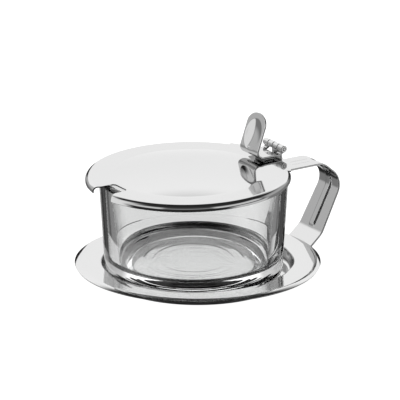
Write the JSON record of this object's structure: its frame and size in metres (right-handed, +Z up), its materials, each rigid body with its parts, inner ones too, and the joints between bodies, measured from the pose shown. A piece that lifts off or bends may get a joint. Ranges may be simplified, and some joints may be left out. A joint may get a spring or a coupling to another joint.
{
  "type": "grated cheese server",
  "caption": "Round glass serving bowl in a pressed steel saucer, with a hinged steel lid, spoon notch, thumb lever and loop handle.",
  "frame": {"origin": "centre of the saucer's flat base, on the table plane", "axes": "+Z up from the base, +X towards the handle, +Y across the hinge"},
  "size_m": [0.1724, 0.15, 0.0949],
  "materials": {
    "saucer_steel": "mirror polished steel",
    "handle_steel": "mirror polished steel",
    "lid_steel": "mirror polished steel",
    "lever_steel": "mirror polished steel",
    "pin_steel": "turned steel",
    "glass": "clear pressed glass"
  },
  "bodies": {
    "stand": {"saucer": "saucer_steel", "handle": "handle_steel", "hinge_pin": "pin_steel"},
    "bowl": {"glass_bowl": "glass"},
    "cover": {"lid": "lid_steel", "lever_pad": "lid_steel", "thumb_lever": "lever_steel"}
  },
  "joints": [
    {"name": "lid_hinge", "type": "hinge", "parent": "stand", "child": "cover", "pos_m": [0.056, 0, 0.0724], "axis": [0, 1, 0], "range_deg": [0, 140]},
    {"name": "bowl_turn", "type": "hinge", "parent": "stand", "child": "bowl", "pos_m": [-0.0029, 0, 0], "axis": [0, 0, 1], "continuous": true}
  ]
}
